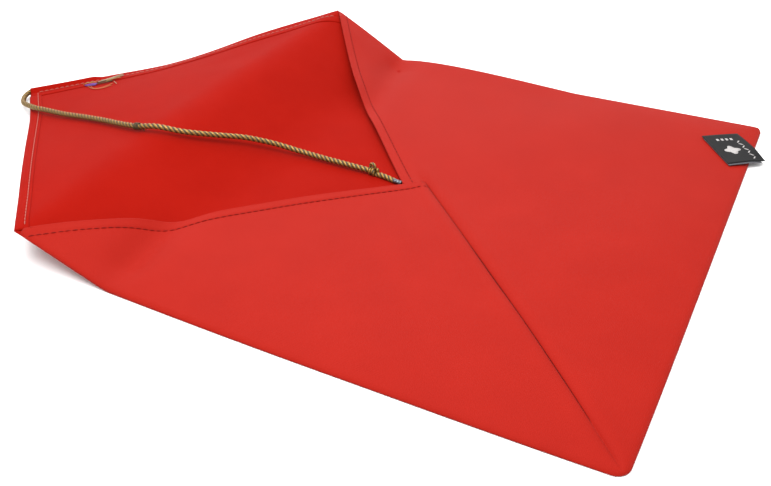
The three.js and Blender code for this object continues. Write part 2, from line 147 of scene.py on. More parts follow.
def cotton(name, base, shade, light, gloss):
    material, shader = new_material(name, Roughness=0.72, Sheen_Weight=0.03, Sheen_Roughness=0.4)
    shader.inputs["Specular IOR Level"].default_value = gloss
    flat = add_node(material, "ShaderNodeUVMap", uv_map="cloth").outputs["UV"]
    cross = math.pi / (10 * THREAD_SPACING)  # a wave texture repeats every 2 pi / 20 of its scale
    warp, weft = (add_node(material, "ShaderNodeTexWave", {"Vector": flat, "Scale": cross,
        "Distortion": 0.35, "Detail Scale": 2.0}, bands_direction=way) for way in ("X", "Y"))
    over = add_node(material, "ShaderNodeTexChecker", {"Vector": flat, "Scale": 1 / THREAD_SPACING})
    weave = add_node(material, "ShaderNodeMix", {"Factor": over.outputs["Fac"],
        "A": warp.outputs["Fac"], "B": weft.outputs["Fac"]})
    dye = add_node(material, "ShaderNodeTexNoise", {"Vector": flat, "Scale": 26, "Detail": 5,
        "Roughness": 0.6})
    slub = add_node(material, "ShaderNodeTexNoise", {"Vector": flat, "Scale": 900, "Detail": 2})
    tone = add_node(material, "ShaderNodeMath", {0: dye.outputs["Fac"], 1: 0.75},
        operation="MULTIPLY")
    tone = add_node(material, "ShaderNodeMath", {0: slub.outputs["Fac"], 1: 0.25,
        2: tone.outputs[0]}, operation="MULTIPLY_ADD")
    colour = add_node(material, "ShaderNodeValToRGB", {"Fac": tone.outputs[0]})
    set_ramp(colour, [(0.25, shade), (0.5, base), (0.75, light)])
    material.node_tree.links.new(colour.outputs["Color"], shader.inputs["Base Color"])
    fibre = add_node(material, "ShaderNodeMath", {0: slub.outputs["Fac"], 1: 0.6,
        2: weave.outputs["Result"]}, operation="MULTIPLY_ADD")
    threads = add_node(material, "ShaderNodeBump", {"Height": fibre.outputs[0], "Strength": 0.35,
        "Distance": 0.12 * MM})
    handling = add_node(material, "ShaderNodeTexNoise", {"Vector": flat, "Scale": 70, "Detail": 4,
        "Roughness": 0.55})
    creases = add_node(material, "ShaderNodeBump", {"Height": handling.outputs["Fac"],
        "Strength": 0.12, "Distance": 0.6 * MM, "Normal": threads.outputs["Normal"]})
    material.node_tree.links.new(creases.outputs["Normal"], shader.inputs["Normal"])
    return material


COTTON_OUTSIDE = cotton("dyed_cotton_outside", "#901306", "#8c1105", "#941508", 0.1)
# The inside is the same dyed-through cotton set a little darker: painted shade on the inner faces.
SHADED_COTTON_INSIDE = cotton("dyed_cotton_inside_shaded", "#8a0e04", "#860c03", "#8e1005", 0.02)
print("cotton threads every", THREAD_SPACING, "m")

# %% [markdown]
# ## Threads, cord yarns, label tape and the steel sleeve
# Sewing thread and cord yarns are twisted fibres: a wave along the piece's own surface would need a
# map, so a fine noise in real millimetres gives their fuzz. The gold yarn is a flat metallised film
# wound round a core, so it is half metal and shows small bright facets. The label is woven as satin
# from polyester, which is smoother than cotton. The sleeve on the cord's end is crimped steel.

# %% Yarn and metal materials
def yarn(name, base, shade, grain, bump, **values):
    material, shader = new_material(name, **values)
    place = add_node(material, "ShaderNodeTexCoord").outputs["Object"]
    fuzz = add_node(material, "ShaderNodeTexNoise", {"Vector": place, "Scale": 1 / grain,
        "Detail": 3, "Roughness": 0.6})
    colour = add_node(material, "ShaderNodeValToRGB", {"Fac": fuzz.outputs["Fac"]})
    set_ramp(colour, [(0.35, shade), (0.65, base)])
    material.node_tree.links.new(colour.outputs["Color"], shader.inputs["Base Color"])
    relief = add_node(material, "ShaderNodeBump", {"Height": fuzz.outputs["Fac"],
        "Strength": 0.6, "Distance": bump})
    material.node_tree.links.new(relief.outputs["Normal"], shader.inputs["Normal"])
    return material


DARK_THREAD = yarn("polyester_thread_dark_red", "#7a0a06", "#600704", 0.4 * MM, 0.1 * MM,
    Roughness=0.6, Specular_IOR_Level=0.1)
PALE_THREAD = yarn("polyester_thread_pale", "#a8564a", "#904238", 0.4 * MM, 0.1 * MM,
    Roughness=0.6)
GOLD_YARN = yarn("metallised_gold_yarn", "#b08c46", "#6e4e1e", 0.5 * MM, 0.2 * MM,
    Roughness=0.38, Metallic=0.55)
OLIVE_YARN = yarn("rayon_yarn_dark_olive", "#4a3c14", "#2a220c", 0.4 * MM, 0.15 * MM,
    Roughness=0.6)
LABEL_BLACK = yarn("satin_woven_label_black", "#121213", "#0a0a0b", 0.35 * MM, 0.08 * MM,
    Roughness=0.6, Specular_IOR_Level=0.2)
LABEL_BACK = yarn("satin_woven_label_back", "#55555a", "#38383c", 0.35 * MM, 0.08 * MM,
    Roughness=0.65)
LABEL_WHITE = yarn("satin_woven_label_white", "#b2aeac", "#8e8a89", 0.35 * MM, 0.08 * MM,
    Roughness=0.55)
CRIMPED_STEEL = yarn("crimped_steel_sleeve", "#74767c", "#4a4c52", 0.8 * MM, 0.1 * MM,
    Roughness=0.3, Metallic=0.95)
PURPLE_YARN = yarn("rayon_yarn_purple", "#6e4496", "#523078", 0.4 * MM, 0.1 * MM, Roughness=0.5)
ORANGE_YARN = yarn("rayon_yarn_orange", "#b8622a", "#964a18", 0.4 * MM, 0.1 * MM, Roughness=0.5)
PALE_YARN = yarn("rayon_yarn_ecru", "#a8977a", "#7c6c50", 0.4 * MM, 0.1 * MM, Roughness=0.5)
print("materials", len(bpy.data.materials))


# %% [markdown]
# ## Mesh helpers
# Most pieces are grids of points: rows of cloth, rings of a cord. One function turns points and faces
# into a smooth mesh object, one gives the faces of a grid, and one those of a tube.

# %% Grid to mesh
def mesh_object(name, vertices, faces, materials, face_materials=None):
    mesh = bpy.data.meshes.new(name)
    mesh.from_pydata([tuple(v) for v in vertices], [], faces)
    for material in materials:
        mesh.materials.append(material)
    if face_materials is not None:
        mesh.polygons.foreach_set("material_index", face_materials)
    mesh.polygons.foreach_set("use_smooth", [True] * len(mesh.polygons))
    mesh.update()
    piece = bpy.data.objects.new(name, mesh)
    bpy.context.collection.objects.link(piece)
    return piece


def grid_faces(rows, columns, first=0, closed=False):
    around = columns if closed else columns - 1
    faces = []
    for r in range(rows - 1):
        for c in range(around):
            n = (c + 1) % columns
            at = first + r * columns
            faces.append((at + c, at + n, at + columns + n, at + columns + c))
    return faces


def tube_faces(rings, sides):
    """The faces of a closed tube, with both its ends."""
    last = (rings - 1) * sides
    ends = [tuple(range(sides))[::-1], tuple(range(last, last + sides))]
    return grid_faces(rings, sides, closed=True) + ends


# %% [markdown]
# ## The cord
# The tie cord is three metallised yarns laid up with a dark one in each groove, 3.9 mm across. It
# comes out of the flap's hem at the tip, turns back over the edge, crosses the flap and the fold and
# lies down into the mouth, where a knot stops it. The route is a list of points, and a centripetal
# Catmull-Rom curve joins them without overshooting. The cord is swept along it as a section with
# three lobes that turns as it goes, which gives real strands and not a painted stripe. The dark colour
# is laid on every face low in a groove and reaches well up each strand's sides, so it is partly the
# dark yarn and partly painted shade of the grooves.

# %% Cord route
CORD = 3.9 * MM  # across
CORD_ROUTE = np.array([
    (-348.4, -3.8, 4.7), (-349.4, -9.8, 4.4), (-347.0, -16.6, 4.4), (-342.0, -22.8, 4.9),
    (-335.6, -28.2, 6.1), (-328.2, -32.6, 8.2), (-319.4, -36.4, 10.2), (-308.2, -39.8, 12.1),
    (-296.0, -41.0, 13.4), (-276.0, -43.2, 15.4), (-251.0, -45.4, 19.0), (-229.0, -48.4, 22.4),
    (-210.0, -52.0, 25.4), (-192.0, -54.4, 28.6), (-176.0, -53.0, 31.2), (-160.0, -45.6, 27.4),
    (-145.0, -32.0, 22.0), (-130.0, -17.4, 16.4), (-114.0, -6.0, 9.8), (-97.0, -0.6, 5.2),
    (-77.0, -0.4, 4.2), (-60.0, -0.8, 4.1), (-41.4, -1.0, 3.8)]) * MM
SPANS = ([(0, 1), (1, 2), (2, 3)], [(0, 2), (1, 3)], [(1, 2)])  # the pairs of knots that are mixed


def catmull_rom(points, step):
    """Points about a step apart on the centripetal Catmull-Rom curve through the given points."""
    p = np.vstack([2 * points[0] - points[1], points, 2 * points[-1] - points[-2]])
    route = []
    for i in range(1, len(p) - 2):
        quad = p[i - 1 : i + 3]
        gaps = np.linalg.norm(np.diff(quad, axis=0), axis=1) ** 0.5
        k = np.concatenate([[0], np.cumsum(gaps)])
        count = max(2, int(round(np.linalg.norm(quad[2] - quad[1]) / step)))
        for t in np.linspace(k[1], k[2], count, endpoint=False):
            mixed = quad
            for pairs in SPANS:
                mixed = [((k[b] - t) * mixed[j] + (t - k[a]) * mixed[j + 1]) / (k[b] - k[a])
                         for j, (a, b) in enumerate(pairs)]
            route.append(mixed[0])
    return np.array(route + [points[-1]])


def travelled_along(path):
    """The distance along the path at each of its points."""
    return np.concatenate([[0], np.cumsum(np.linalg.norm(np.diff(path, axis=0), axis=1))])


def run_length(path):
    return float(travelled_along(path)[-1])


cord_path = catmull_rom(CORD_ROUTE, 0.7 * MM)
print("free cord", round(run_length(cord_path), 4), "m")

# %% [markdown]
# A sweep needs a frame at each point of the path: the tangent, and two directions across it that
# don't spin on their own. Each frame is the one before it, turned just enough to follow the path.

# %% Sweep a section along a path
def frames_along(path):
    tangents = np.gradient(path, axis=0)
    tangents /= np.linalg.norm(tangents, axis=1)[:, None]
    across = np.cross(tangents[0], (0.02, 0.03, 1.0))
    frames = []
    for tangent in tangents:
        across = across - tangent * across.dot(tangent)
        across /= np.linalg.norm(across)
        frames.append((across, np.cross(tangent, across)))
    return frames


def sweep(name, path, radius, sides, materials, section=None, twist=0.0, pick=None):
    """A closed tube. radius is one number or one per point, section(angle) scales it round the ring,
    twist is in radians a metre, and pick(angle) gives the material of the faces at that angle."""
    radii = np.broadcast_to(radius, len(path))
    angles = np.arange(sides) * 2 * math.pi / sides
    shape = np.array([section(a) if section else 1.0 for a in angles])
    vertices = []
    for point, (e1, e2), r, s in zip(path, frames_along(path), radii, travelled_along(path)):
        turned = angles + twist * s
        offsets = np.outer(np.cos(turned) * shape, e1) + np.outer(np.sin(turned) * shape, e2)
        vertices.extend(point + r * offsets)
    picked = [pick(a + math.pi / sides) if pick else 0 for a in angles]
    slots = picked * (len(path) - 1) + [0, 0]
    return mesh_object(name, vertices, tube_faces(len(path), sides), materials, slots)


STRANDS = 3
LAY_LENGTH = 10.5 * MM  # one turn of a strand round the cord
GROOVE = 0.24  # depth of the groove between two strands, as a share of the radius
# The dark band is wider than a yarn in the groove would show: it also paints the grooves' shade.
DARK_YARN_AND_SHADE_SHARE = 0.6  # how far up a strand the dark yarn reaches, from 0 in the groove to 1 on top


def strand_rise(angle):
    """1 on top of a strand and 0 in the groove between two."""
    return abs(math.cos(STRANDS * angle / 2))


def strand_section(angle):
    return 1 - GROOVE + GROOVE * strand_rise(angle)


# Faces low in a groove take the dark olive yarn, which also stands in for painted shade there.
def strand_material(angle):
    return 1 if strand_rise(angle) < DARK_YARN_AND_SHADE_SHARE else 0


def laid_cord(name, path, diameter):
    return sweep(name, path, diameter / 2, 8 * STRANDS, [GOLD_YARN, OLIVE_YARN], strand_section,
        2 * math.pi / LAY_LENGTH, strand_material)


tie_cord = laid_cord("tie_cord", cord_path, CORD)
print("cord mesh", len(tie_cord.data.polygons), "faces")

# %% [markdown]
# ## The end of the cord
# The knot is the cord's own end wound round it in tight turns, with a small bight left standing. Past
# the knot the short tail ends in a crimped steel sleeve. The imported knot, bight, tail and sleeve say
# where each of them lies, so their boxes give the lengths.

# %% Knot, bight, tail and sleeve
UP = np.array((0, 0, 1.0))
END_SHIFT = np.array((7.0, 0.6, -0.6)) * MM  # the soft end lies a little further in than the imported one
KNOT_TURNS = 2.4
KNOT_LENGTH = 6.0 * MM
KNOT_RADIUS = 1.7 * MM  # of the wound cord's centreline
WOUND_CORD = 2.8 * MM  # across, where it is pulled tight or pressed in the hem
BIGHT_CORD = 2.2 * MM
TAIL_CORD = 3.7 * MM
SLEEVE_RADIUS = 1.75 * MM


def middle(node):
    low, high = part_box(node)
    return (np.array(low) + np.array(high)) / 2


def half_length(node):
    """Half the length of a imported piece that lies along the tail."""
    low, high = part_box(node)
    return (high[0] - low[0]) / 2 / tail_way[0]


knot_at = middle("cord_knot") + END_SHIFT - UP * MM
sleeve_at = middle("cord_sleeve") + END_SHIFT
tail_at = middle("cord_tail") + END_SHIFT
tail_way = (sleeve_at - tail_at) / np.linalg.norm(sleeve_at - tail_at)
tail_side = np.cross(UP, tail_way)

winding = np.linspace(-0.5, 0.5, 90)
turn = 2 * math.pi * KNOT_TURNS * winding
wound = knot_at + np.outer(winding * KNOT_LENGTH, tail_way) + KNOT_RADIUS * (
    np.outer(np.cos(turn), tail_side) + np.outer(np.sin(turn), UP))
knot = laid_cord("cord_end_knot", wound, WOUND_CORD)

bight_foot = middle("cord_loop") + END_SHIFT
bight_foot[2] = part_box("cord_loop")[0][2] - 2.4 * MM + END_SHIFT[2]
swing = np.linspace(-0.72 * math.pi, 0.72 * math.pi, 40)
bight_path = bight_foot + np.outer(np.sin(swing) * 1.9 * MM, tail_way) + np.outer(
    (np.cos(swing) + 0.4) * 2.0 * MM, UP)
bight = laid_cord("cord_end_bight", bight_path, BIGHT_CORD)

tail_reach = np.linspace(-1.15, 0.98, 40) * half_length("cord_tail")
tail_path = tail_at + np.outer(tail_reach, tail_way)
tail_path[:, 2] += 0.5 * MM * np.sin(np.linspace(0, math.pi, 40))
tail = laid_cord("cord_end_tail", tail_path, TAIL_CORD)

along_sleeve = np.linspace(-1, 1, 25)
sleeve_path = sleeve_at + np.outer(along_sleeve * half_length("cord_sleeve") * 0.95, tail_way)
crimp = SLEEVE_RADIUS * (1 - 0.16 * np.exp(-((np.abs(along_sleeve) - 0.35) / 0.12) ** 2))
crimp *= np.where(np.abs(along_sleeve) > 0.97, 0.82, 1.0)
sleeve = sweep("cord_end_sleeve", sleeve_path, crimp, 24, [CRIMPED_STEEL])
print("knot at", knot_at.round(4), "sleeve at", sleeve_at.round(4))

# %% [markdown]
# A few turns of dark yarn bind the cord on the flap, and the yarn's end hangs loose.

# %% Binding
BINDING_TURNS = 3.5
BINDING_YARN = 0.9 * MM  # across
nearest = int(np.argmin(np.linalg.norm(cord_path - middle("cord_whipping"), axis=1)))
bound = cord_path[nearest - 4 : nearest + 5]
turn = np.linspace(0, 2 * math.pi * BINDING_TURNS, 120)
spot = np.linspace(0, len(bound) - 1, 120)
centre = np.stack([np.interp(spot, range(len(bound)), bound[:, i]) for i in range(3)], axis=1)
binding_radius = CORD / 2 + 0.1 * MM
binding_path = np.array([c + binding_radius * (math.cos(a) * e1 + math.sin(a) * e2)
    for c, a, (e1, e2) in zip(centre, turn, frames_along(centre))])
droop = np.linspace(0, 1, 16)[1:, None]
binding_path = np.vstack([binding_path, binding_path[-1] + droop * np.array((2.6, -1.6, -2.2)) * MM
    + np.sin(droop * 5) * np.array((0.0, 0.7, 0.3)) * MM])
binding = sweep("cord_binding", binding_path, BINDING_YARN / 2, 8, [OLIVE_YARN])
print("binding round the cord at", cord_path[nearest].round(4))

# %% [markdown]
# ## The shape of the laid cloth
# All the cloth is one cut, and each of its points has a place (x, y) on the flat pattern. One surface
# says where the pattern lies: flat under the body, sloping up over the mouth end, and down again
# along the flap. It is built as a table. Along each row the slope turns from flat to rising at the
# crease and from rising to falling at the fold line, sharply at the side edges and softly in the
# middle, and adding up the slope gives the height without stretching the cloth.

# %% Laid surface
SIDE = 360 * MM
HALF = SIDE / 2
FLAP_LENGTH = 180 * MM
MOUTH_DEPTH = {-1: 174 * MM, 1: 160 * MM}  # of the near and the far mouth edge, from the fold line
CREASE = (67 * MM, 73 * MM)  # fold line to crease, at the near and the far edge
LIFT = (21.6 * MM, 36 * MM)  # height of the fold line's ends
SAG = (1.0, 1.65)  # how the flap falls: 1 is straight
TIP_LIFT = 2.5 * MM
SOFT_CREASE = 46 * MM  # width in which the crease bends, in the middle of the cloth
SOFT_FOLD = 40 * MM
SHARP = 5 * MM  # the same at the side edges
TABLE_START = -60 * MM  # way along the cloth from the crease to the table's first column
TABLE_COLUMNS = 306  # one for each mm of the way


def mix(pair, y):
    return pair[0] + (pair[1] - pair[0]) * (y + HALF) / SIDE


def smooth(value):
    value = np.clip(value, 0, 1)
    return value * value * (3 - 2 * value)


def crease_at(y):
    return -HALF + mix(CREASE, y)


def laid_table(row_y):
    """(x, z) of the laid cloth for rows across it and columns along it."""
    way = TABLE_START + np.arange(TABLE_COLUMNS) * MM + 0 * row_y
    reach = mix(CREASE, row_y)
    share = np.clip((way - reach) / FLAP_LENGTH, 0, 1)
    rise_angle = np.arcsin(mix(LIFT, row_y) / reach)
    sag = mix(SAG, row_y)
    drop = mix(LIFT, row_y) - TIP_LIFT
    fall_angle = np.arcsin(np.clip(drop / FLAP_LENGTH * sag * (1 - share) ** (sag - 1), 0, 0.95))
    softness = np.cos(row_y / HALF * math.pi / 2) ** 0.6
    crease_width = SHARP + (SOFT_CREASE - SHARP) * softness
    fold_width = SHARP + (SOFT_FOLD - SHARP) * softness
    started = smooth(way / crease_width + 0.5)
    turned = smooth((way - reach) / fold_width + 0.5)
    slope = rise_angle * started * (1 - turned) - fall_angle * turned
    step = np.full(way.shape, MM)
    step[:, 0] = 0
    z = np.cumsum(np.sin(slope) * step, axis=1)
    x = crease_at(row_y) - TABLE_START - np.cumsum(np.cos(slope) * step, axis=1)
    planned = TIP_LIFT + drop * (1 - share) ** sag
    z += (planned - z) * smooth(2.5 * share)
    return np.stack([x, z], axis=2)


TABLE = laid_table(np.linspace(-HALF, HALF, 73)[:, None])


def lay(x, y, height=0.0):
    """Where points of the flat pattern lie, raised by a height."""
    x, y, height = np.broadcast_arrays(np.asarray(x, float), np.asarray(y, float), height)
    row = (y + HALF) / SIDE * (TABLE.shape[0] - 1)
    column = (crease_at(y) - x - TABLE_START) / MM
    i = np.clip(row.astype(int), 0, TABLE.shape[0] - 2)
    j = np.clip(np.floor(column).astype(int), 0, TABLE.shape[1] - 2)
    a, b = (row - i)[..., None], (column - j)[..., None]
    low = TABLE[i, j] * (1 - b) + TABLE[i, j + 1] * b
    high = TABLE[i + 1, j] * (1 - b) + TABLE[i + 1, j + 1] * b
    place = low * (1 - a) + high * a
    return np.stack([place[..., 0], y, place[..., 1] + height], axis=-1)


print("fold line from", lay(-HALF, -HALF).round(4), "to", lay(-HALF, HALF).round(4))
print("flap tip at", lay(-HALF - FLAP_LENGTH, 0).round(4))

# %% [markdown]
# ## How high each layer lies
# The back lies on the table. The front quarter and the front half start at the folded side edges,
# where the cloth turns over in a tight round, and rest a few millimetres above the back. Each height
# is a sum of small causes: the loft of the layers, the mouth edge that lifts where nothing holds it,
# the valley where the two front pieces are seamed, the line of hem stitches that pulls the cloth
# down, and the slow waves that handling leaves.

# %% Heights of the layers
BACK_HEIGHT = 0.3 * MM
CLOTH = 0.5 * MM  # thickness
FOLD_ROUND = 3.5 * MM
EDGE_RISE = 1.6 * MM  # of the cloth that has turned over at a folded edge
MOUTH_LIFT = 3.6 * MM  # of the free mouth edges
VALLEY_DIP = 4.4 * MM  # of the soft crease that runs from each side edge to the mouth
VALLEY_SLANT = {-1: -0.06, 1: 0.22}  # of that crease to the back's, at the near and the far side
FAR_BULGE = 4.5 * MM  # of the front over the back's crease, at the far side
HEM_RISE = 0.35 * MM
STITCH_PULL = 0.5 * MM
SEAM_PULL = 1.7 * MM
SEAM_LOFT = 0.5 * MM  # beside the seam, over its allowances
LONG_WAVES = (1.3 * MM, 95 * MM)  # height and length of the waves that handling leaves
SHORT_WAVES = (0.2 * MM, 30 * MM)
MOUTH_CORNER_DIP = 1.9 * MM  # the layers lie close where the two mouth edges meet
LOFT = 3.4 * MM  # how far the layers stand apart in the middle
HEM_WIDTH = 8 * MM
STITCH_INSET = 6.2 * MM
MOUTH_SLANT = {side: math.hypot(depth, HALF) for side, depth in MOUTH_DEPTH.items()}
CORNER_X = -HALF + SIDE / (HALF / MOUTH_DEPTH[-1] + HALF / MOUTH_DEPTH[1])  # where the two edges meet
CORNER_Y = HALF * (1 - (CORNER_X + HALF) / MOUTH_DEPTH[1])
SEAM_X = -HALF + MOUTH_DEPTH[-1] * SIDE / (MOUTH_DEPTH[-1] + HALF)  # where the near edge meets the seam


def waves(x, y, height_and_length, seed):
    height, length = height_and_length
    places = zip(np.ravel(x) / length, np.ravel(y) / length)
    heights = [height * noise.noise((float(a), float(b), seed)) for a, b in places]
    return np.array(heights).reshape(np.shape(x))


def mouth_inset(x, y, side):
    """Distance into the cloth from a mouth edge; side is -1 near, 1 far."""
    edge_y = HALF * (1 - (x + HALF) / MOUTH_DEPTH[side])
    return (side * y - edge_y) * MOUTH_DEPTH[side] / MOUTH_SLANT[side]


def bell(value, width):
    return np.exp(-((value / width) ** 2))


def front_height(x, y, side):
    fold = HALF - side * y
    edge = np.clip(np.minimum(fold, HALF - x), 0, None)
    round_over = np.sqrt(1 - (1 - np.clip(edge / FOLD_ROUND, 0, 1)) ** 2)
    height = EDGE_RISE * round_over + LOFT * (1 - np.exp(-edge / (26 * MM)))
    inset = mouth_inset(x, y, side)
    share = np.clip((x + HALF) / MOUTH_DEPTH[side], 0, 1)
    height += MOUTH_LIFT * np.sin(math.pi * share) ** 1.4 * np.exp(-np.clip(inset, 0, 1) / (30 * MM))
    height -= MOUTH_CORNER_DIP * bell(np.hypot(x - CORNER_X, y - CORNER_Y), 62 * MM)
    valley = x - crease_at(y) - VALLEY_SLANT[side] * fold
    height -= VALLEY_DIP * bell(valley, 12 * MM) * smooth(fold / (25 * MM)) * smooth(2 - fold / (90 * MM))
    if side > 0:
        height += FAR_BULGE * bell(x - crease_at(y), 26 * MM) * smooth(fold / (80 * MM))
    held = np.clip(edge / (10 * MM), 0, 1)
    height += held * HEM_RISE * smooth((HEM_WIDTH - inset) / (2 * MM))
    height -= held * STITCH_PULL * bell(inset - STITCH_INSET, 0.9 * MM)
    seam = np.abs(x + y) / math.sqrt(2)
    on_seam = smooth((x - SEAM_X) / (12 * MM) + 0.9) * held
    height -= on_seam * SEAM_PULL * np.exp(-seam / (1.5 * MM))
    height += on_seam * SEAM_LOFT * bell(seam - 6 * MM, 4 * MM)
    calm = smooth(edge / (25 * MM))
    height += calm * (waves(x, y, LONG_WAVES, 3.1 + side) + waves(x, y, SHORT_WAVES, 7.7))
    return BACK_HEIGHT + np.maximum(height, 0)


def back_height(x, y):
    calm = smooth((HALF - np.abs(y)) / (25 * MM)) * smooth((HALF - x) / (25 * MM))
    ripple = np.abs(waves(x, y, (0.9 * MM, 80 * MM), 1.3)) + waves(x, y, (0.12 * MM, 22 * MM), 5.5)
    return BACK_HEIGHT + calm * np.maximum(ripple, 0)


# %% [markdown]
# ## One continuous cloth
# Back, flap and both front pieces are the same cloth, so they are one mesh: grids that share their
# points at the folds. The columns of a grid are closer together at folds and hems, where the cloth
# bends most. A Solidify modifier then gives the cloth its thickness, with its own material on the
# inside. The side edges aren't ruled lines: the near one bows out a little, the far one lofts off the
# table, and the closed corners are round where the cloth was turned.

# %% Grids of the cloth
FOLD_STEPS = np.array([0, 0.25, 0.7, 1.5, 2.6, 4, 6, 9, 13]) * MM
HEM_STEPS = np.array([0, 0.5, 1.4, 2.8, 4.4, 5.2, 5.7, 6.2, 6.7, 7.2, 8, 9.2, 11, 13.5]) * MM
SEAM_STEPS = np.array([0, 0.4, 0.9, 1.5, 2.2, 3, 4, 5.2, 6.5, 8, 9.5, 11, 13, 15.5]) * MM
CORNER_ROUND = 7 * MM
NEAR_BOW = 2.2 * MM  # of the body's near edge
CORNER_SPREAD = 2.2 * MM  # how far the two closed corners stand out
FAR_LOFT = 4.4 * MM  # of the body's far edge off the table
TIP_TURN = 5.0 * MM  # how far the flap's tip is turned to the near side
FAR_SAG = 3.0 * MM  # of the flap's far edge


def shaped(x, y, height):
    """A point of the cloth in place, with bowed edges and round corners."""
    points = lay(x, y, height)
    u = np.clip((x - (HALF - CORNER_ROUND)) / CORNER_ROUND, 0, 1)
    v = np.clip((np.abs(y) - (HALF - CORNER_ROUND)) / CORNER_ROUND, 0, 1)
    points[..., 0] -= CORNER_ROUND * u * (1 - np.sqrt(1 - v * v / 2))
    points[..., 1] -= np.sign(y) * CORNER_ROUND * v * (1 - np.sqrt(1 - u * u / 2))
    run = np.clip((x - crease_at(y)) / (HALF - crease_at(y)), 0, 1)
    by_near = np.exp(-(y + HALF) / (40 * MM))
    by_far = np.exp(-(HALF - y) / (28 * MM))
    points[..., 0] += CORNER_SPREAD * smooth(run) * (1 - 0.35 * by_near)
    bow = NEAR_BOW * np.sin(math.pi * run) + 0.7 * CORNER_SPREAD * smooth(2 * run - 1)
    points[..., 1] -= bow * by_near
    loft = np.clip((x + 108 * MM) / (150 * MM), 0, 1) ** 0.62
    points[..., 2] += FAR_LOFT * np.sin(math.pi * loft) * by_far
    flap = np.clip((-HALF - x) / FLAP_LENGTH, 0, 1)
    far_edge = np.exp(-np.abs(HALF * (1 - flap) - y) / (32 * MM))
    near_edge = np.exp(-np.abs(HALF * (1 - flap) + y) / (32 * MM))
    points[..., 2] += FAR_SAG * (0.9 * bell(flap - 0.22, 0.17) - bell(flap - 0.58, 0.22)) * far_edge
    points[..., 0] += 1.6 * MM * bell(x + 200 * MM, 55 * MM) * near_edge
    points[..., 1] -= TIP_TURN * smooth((flap - 0.68) / 0.32)
    return points


def column(low, high, low_steps, high_steps, inner):
    length = high - low
    start = low_steps * min(1, 0.45 * length / low_steps[-1])
    end = high_steps * min(1, 0.45 * length / high_steps[-1])
    between = np.linspace(low + start[-1], high - end[-1], inner + 2)[1:-1]
    return np.concatenate([low + start, between, (high - end)[::-1]])


def stations(low, high, spacing):
    return np.linspace(low, high, max(2, int(round((high - low) / spacing)) + 1))


SPACING = 4 * MM
TIP_X = -HALF - FLAP_LENGTH
TIP_WIDTH = 0.5 * MM
TIP_RUN = 8 * MM  # with a finer grid
body_x = np.unique(np.concatenate([
    stations(-HALF, CORNER_X, SPACING), stations(CORNER_X, SEAM_X, 1.7 * MM),
    stations(SEAM_X, HALF - FOLD_STEPS[-1], SPACING), HALF - FOLD_STEPS]).round(7))
flap_x = np.concatenate([
    stations(TIP_X, TIP_X + TIP_RUN, 1 * MM)[:-1], stations(TIP_X + TIP_RUN, -HALF, SPACING)[:-1]])


def near_top(x):
    return -HALF * (1 - (x + HALF) / MOUTH_DEPTH[-1]) if x < SEAM_X else -x


def far_bottom(x):
    return HALF * (1 - (x + HALF) / MOUTH_DEPTH[1]) if x < CORNER_X else near_top(x)


def slanted(x, side):
    if x < SEAM_X:
        return HEM_STEPS * MOUTH_SLANT[side] / MOUTH_DEPTH[side]
    return SEAM_STEPS * math.sqrt(2)


def back_column(x):
    half_width = min(HALF, max(TIP_WIDTH, (x - TIP_X) * HALF / FLAP_LENGTH))
    return column(-half_width, half_width, FOLD_STEPS, FOLD_STEPS, 60)


grids = {
    "back": [(x, back_column(x)) for x in np.concatenate([flap_x, body_x])],
    "near": [(x, column(-HALF, near_top(x), FOLD_STEPS, slanted(x, -1), 34)) for x in body_x[1:]],
    "far": [(x, column(far_bottom(x), HALF, slanted(x, 1), FOLD_STEPS, 46)) for x in body_x[1:]],
}
vertices, faces, flat_places = [], [], []
for part, columns in grids.items():
    x = np.array([[c[0]] * len(c[1]) for c in columns])
    y = np.array([c[1] for c in columns])
    height = back_height(x, y) if part == "back" else front_height(x, y, 1 if part == "far" else -1)
    points = shaped(x, y, height)
    block = grid_faces(*x.shape, first=len(vertices))
    faces += [f[::-1] for f in block] if part != "back" else block
    vertices += [tuple(p) for p in points.reshape(-1, 3)]
    flat_places += list(zip(x.ravel(), y.ravel()))
cloth = mesh_object("pouch_cloth", vertices, faces, [COTTON_OUTSIDE, SHADED_COTTON_INSIDE])


def map_cloth(piece, places):
    """Writes each vertex's place on the flat cloth, in metres, as the map that the weave follows."""
    layer = piece.data.uv_layers.new(name="cloth")
    corners = np.empty(len(piece.data.loops), int)
    piece.data.loops.foreach_get("vertex_index", corners)
    layer.data.foreach_set("uv", np.asarray(places, float)[corners].ravel())


def thicken(piece, thickness, inside=0):
    skin = piece.modifiers.new("thickness", "SOLIDIFY")
    skin.thickness = thickness
    skin.offset = -1
    skin.material_offset = inside
    skin.use_even_offset = False


map_cloth(cloth, flat_places)
welded = bmesh.new()
welded.from_mesh(cloth.data)
bmesh.ops.remove_doubles(welded, verts=welded.verts, dist=0.02 * MM)
bmesh.ops.dissolve_degenerate(welded, edges=welded.edges, dist=0.01 * MM)
welded.to_mesh(cloth.data)
welded.free()
# The inside faces take the darker copy of the cotton, which is painted shade.
thicken(cloth, CLOTH, inside=1)
print("cloth", len(cloth.data.vertices), "points")

# %% [markdown]
# ## Hems
# Every free edge is turned once and stitched down. On the flap the turned strip lies on the upper
# side, and the far one is wide enough to hold the cord, which shows as a ridge near the tip. On the
# mouth the strip is turned under, so only the thick edge and the stitches show. A hem is a closed
# strip with a rounded outer edge that follows its edge of the cloth.

# %% Hems
FLAP_SLANT = math.hypot(FLAP_LENGTH, HALF)
FAR_HEM_WIDTH = 17 * MM
FAR_STITCH_INSET = 9.5 * MM
NEAR_STITCH_INSET = 5.7 * MM
ANCHOR_LENGTH = 46 * MM
ANCHOR_INSET = 4.9 * MM  # of the cord that the far hem holds
RIDGE = 2.9 * MM  # height of the ridge over that cord
HEM_START = 0.3 * MM  # from the folded corner, for the flap's hems
MOUTH_HEM_START = 9 * MM


